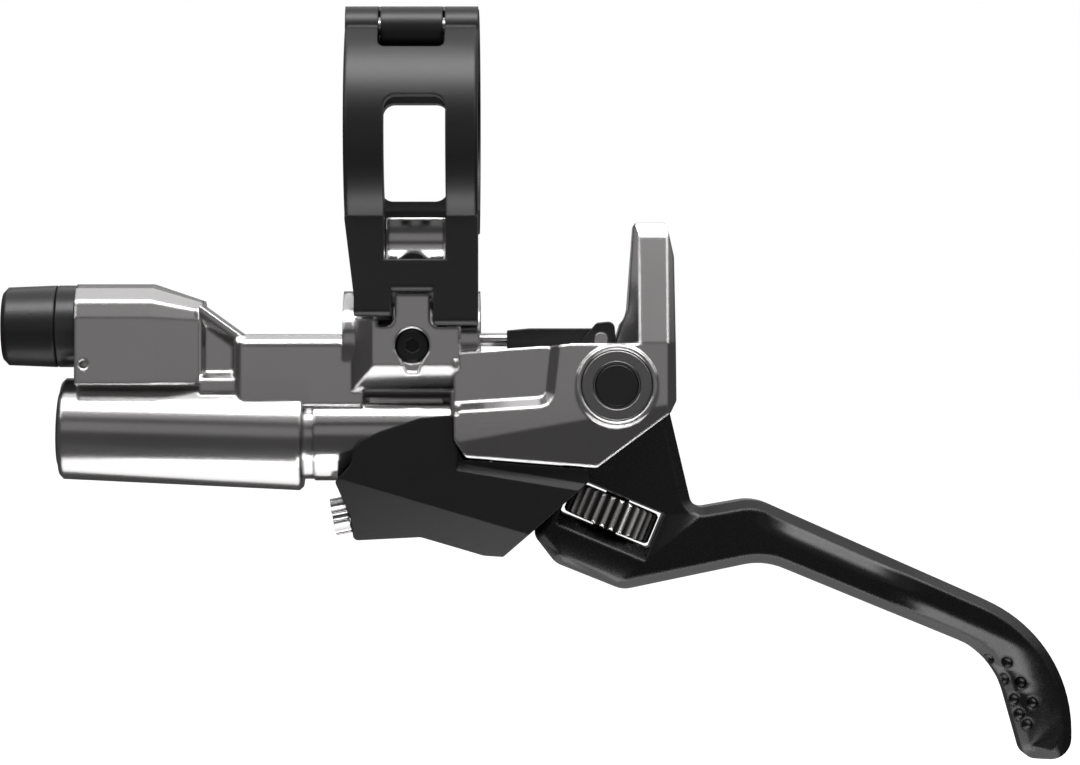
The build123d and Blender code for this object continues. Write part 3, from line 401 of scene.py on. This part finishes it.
# Screw in the plate: black oxide steel with a small hexagon socket. It is screwed in until it sits sunk in
# its blind hole.
oxide_dark, oxide_light, oxide_worn = (0.003, 0.003, 0.0033), (0.008, 0.008, 0.009), (0.05, 0.05, 0.052)
oxide = metal(
    "black_oxide", dark=oxide_dark, light=oxide_light, worn=oxide_worn,
    edge=0.00015, roughness=0.32, spread=0.1, grain=1800.0, depth=0.000005, metallic=0.3,
)
oxide.put_on("bleed_screw")

# Handlebar clamp: two hinged halves, machined from aluminium, bead blasted and black anodised. One bolt
# through the housing's tongue closes it.
anodised_dark, anodised_light = (0.0016, 0.0016, 0.0018), (0.003, 0.003, 0.0032)
anodised = metal(
    "black_anodised", dark=anodised_dark, light=anodised_light, worn=(0.02, 0.02, 0.021),
    edge=0.0004, roughness=0.38, spread=0.1, grain=2600.0, depth=0.000004,
    metallic=0.0, Specular_IOR_Level=0.55,
)
anodised.put_on("clamp_band_front", "clamp_band_rear")

# Clamp bolt: alloy steel with a cylindrical head and a hexagon socket, black oxide, rubbed at the socket. It
# passes through the housing's tongue and draws the clamp's halves together.
bolt = metal(
    "bolt_oxide", dark=oxide_dark, light=oxide_light, worn=(0.16, 0.16, 0.162),
    edge=0.0002, roughness=0.28, spread=0.1, grain=1600.0, depth=0.000005, metallic=0.3,
)
bolt.put_on("clamp_bolt")

# Inner lever and the rod's clevis: machined aluminium, black anodised. The lever turns between the ears, and
# a pin holds the clevis in it.
link = metal(
    "link_anodised", dark=anodised_dark, light=anodised_light, worn=(0.08, 0.08, 0.084),
    edge=0.0003, roughness=0.3, spread=0.1, grain=2200.0, depth=0.000005,
    metallic=0.0, Specular_IOR_Level=0.6,
)
link.put_on("swing_link", "pushrod_clevis")

# Bushings of the inner lever and of the blade: turned bearing plastic, dry and pale brown. They are pressed
# into the bores that turn on the axle.
bearing = moulded(
    "bearing_plastic",
    dark=(0.075, 0.065, 0.048), light=(0.115, 0.10, 0.078),
    edge=0.0002, roughness=0.45, spread=0.1, grain=1500.0, depth=0.000006,
)
bearing.put_on("link_bushing", "blade_bushings")

# Pivot bushings: flanged rings of aluminium, turned and anodised a darker grey. They are pressed into the
# ears from outside.
flange = metal(
    "bushing_anodised",
    dark=(0.22, 0.216, 0.216), light=(0.29, 0.286, 0.286), worn=(0.6, 0.59, 0.59),
    edge=0.0002, roughness=0.24, spread=0.08, grain=1600.0, depth=0.000005,
)
flange.put_on("pivot_bushing_front", "pivot_bushing_rear")

# Pivot axle and its clip: hardened steel, ground and blackened. The axle goes in from the front, and the
# clip snaps into its groove behind.
axle = metal(
    "axle_oxide", dark=oxide_dark, light=oxide_light, worn=oxide_worn,
    edge=0.0002, roughness=0.22, spread=0.08, grain=1500.0, depth=0.000004,
    metallic=0.2, Specular_IOR_Level=0.6,
)
axle.put_on("pivot_axle", "axle_clip")


# Lever blade: forged aluminium, bead blasted and black anodised. The faces of its arm lean in above their
# middle line near the pivot and below it further out, and dimples for grip are drilled in the hooked end.
def rise(value, low, high):
    """0 up to low, 1 from high, and a smooth rise between them."""
    share = min(max((value - low) / (high - low), 0), 1)
    return share * share * (3 - 2 * share)


blade_half = 0.005
arm_start, arm_middle = 0.037, Vector((0.055, 0, -0.0535))
arm_along, arm_across = Vector((0.915, 0, -0.4035)), Vector((0.4035, 0, 0.915))
row_gap, rows = 0.0004, range(-9, 10)
column_gap, columns = 0.001, range(-18, 26)
forging = merged("lever_blade")
for direction, gap, steps in ((arm_across, row_gap, rows), (arm_along, column_gap, columns)):
    for step in steps:
        arm_faces = [face for face in forging.faces if face.calc_center_median().x > arm_start]
        arm_edges = {edge for face in arm_faces for edge in face.edges}
        arm_corners = {corner for face in arm_faces for corner in face.verts}
        bmesh.ops.bisect_plane(
            forging, geom=[*arm_faces, *arm_edges, *arm_corners], dist=merge_distance,
            plane_co=arm_middle + direction * (gap * step), plane_no=direction,
        )

lean_slope, ridge_round, deepest_lean = 0.56, 0.0004, 0.0018
lean_start, lean_change, lean_end = (0.040, 0.045), (0.054, 0.062), (0.070, 0.077)
for corner in forging.verts:
    across = (corner.co - arm_middle).dot(arm_across)
    changed = rise(corner.co.x, *lean_change)
    near_pivot = rise(corner.co.x, *lean_start) * (1 - changed)
    near_hook = changed * (1 - rise(corner.co.x, *lean_end))
    off_ridge = min(abs(across), ridge_round) ** 2 / (2 * ridge_round) + max(abs(across) - ridge_round, 0)
    fall = off_ridge * lean_slope * (near_pivot if across > 0 else near_hook)
    corner.co.y *= 1 - min(fall, deepest_lean) / blade_half

dimple_radius, dimple_out, ray_start = 0.00075, 0.0002, 0.02
face_row = [(0.07076, -0.06363), (0.07243, -0.06600), (0.07373, -0.06838), (0.07314, -0.07099)]
edge_row = [(0.06860, -0.06327), (0.07040, -0.06565), (0.07160, -0.06802), (0.07220, -0.06980)]
skin = BVHTree.FromBMesh(forging)
drills = bmesh.new()
for side in (-1, 1):
    for dimple_x, dimple_z in face_row + edge_row:
        spot = skin.ray_cast(Vector((dimple_x, side * ray_start, dimple_z)), Vector((0, -side, 0)))[0]
        centre = Matrix.Translation(spot + Vector((0, side * dimple_out, 0)))
        bmesh.ops.create_icosphere(drills, subdivisions=3, radius=dimple_radius, matrix=centre)
drill_data = bpy.data.meshes.new("drills")
drills.to_mesh(drill_data)
drills.free()
drill_object = bpy.data.objects.new("drills", drill_data)
bpy.context.scene.collection.objects.link(drill_object)

blade = metal(
    "blade_anodised",
    dark=(0.001, 0.001, 0.0011), light=(0.0022, 0.0022, 0.0023), worn=(0.008, 0.008, 0.0085),
    edge=0.0005, roughness=0.27, spread=0.1, grain=2400.0, depth=0.000002,
    metallic=0.0, edge_gain=1.2, Specular_IOR_Level=0.45,
)
lever = fitted("finger_lever", forging, blade, "blade", "lever_blade")
drilling = lever.modifiers.new("dimples", "BOOLEAN")
drilling.operation, drilling.solver, drilling.object = "DIFFERENCE", "EXACT", drill_object
bpy.context.view_layer.update()
drilled = lever.evaluated_get(bpy.context.evaluated_depsgraph_get())
drilled_data = bpy.data.meshes.new_from_object(drilled)
lever.modifiers.clear()
lever.data = drilled_data
lever.data.set_sharp_from_angle(angle=smooth_angle)
bpy.data.objects.remove(drill_object)

# Reach wheel: turned and knurled aluminium, rubbed to bare metal on the ridges. Its colour is darker down in
# the grooves, which is painted shade.
wheel_middle, wheel_axis = (0.0237, 0.0, -0.0458), (0.385, 0.0, 0.923)
groove_reach, ridge_reach = 0.00505, 0.00538
painted_groove_shade, ridge_colour = (0.1, 0.097, 0.096), (0.95, 0.93, 0.92)
wheel = Surface("knurled_alloy", edge=0.0001, Metallic=1.0)
offset = wheel.node("ShaderNodeVectorMath", {"operation": "SUBTRACT"}, {0: wheel.place(), 1: wheel_middle})
sideways_inputs = {0: offset.outputs[0], 1: wheel_axis}
sideways = wheel.node("ShaderNodeVectorMath", {"operation": "CROSS_PRODUCT"}, sideways_inputs)
reach = wheel.node("ShaderNodeVectorMath", {"operation": "LENGTH"}, {0: sideways.outputs[0]})
ridge = Number(wheel, reach.outputs["Value"]).between(groove_reach, ridge_reach)
# Painted shade: the colour darkens from the ridges down into the grooves.
wheel.give(wheel.shader["Base Color"], wheel.blend(ridge, painted_groove_shade, ridge_colour))
fine_grain(wheel, grain=1500.0, roughness=0.29, spread=0.1, depth=0.000005)
wheel.put_on("reach_knob")

# Reach screw: alloy steel, black oxide, domed where it bears on the inner lever. The wheel's thread moves
# it along its axis.
screw = metal(
    "screw_oxide", dark=oxide_dark, light=oxide_light, worn=(0.2, 0.2, 0.202),
    edge=0.0001, roughness=0.26, spread=0.08, grain=1500.0, depth=0.000004, metallic=0.3,
)
screw.put_on("reach_screw")

# Cover: glass-filled nylon, moulded black with a fine texture, matt on its broad faces. One screw holds it
# under the housing.
cover = moulded(
    "cover_plastic",
    dark=(0.002, 0.002, 0.0022), light=(0.0038, 0.0038, 0.004),
    edge=0.0003, roughness=0.42, spread=0.1, grain=2600.0, depth=0.00001, Specular_IOR_Level=0.3,
)
cover.put_on("linkage_cover")

# Cover screw: a fluted stainless screw, tumbled bright. It goes through the lower corner of the cover into
# the housing's lug.
fluted = metal(
    "fluted_steel",
    dark=(0.36, 0.35, 0.355), light=(0.5, 0.49, 0.495), worn=(0.8, 0.79, 0.79),
    edge=0.00015, roughness=0.2, spread=0.08, grain=1500.0, depth=0.000004,
)
fluted.put_on("cover_screw")
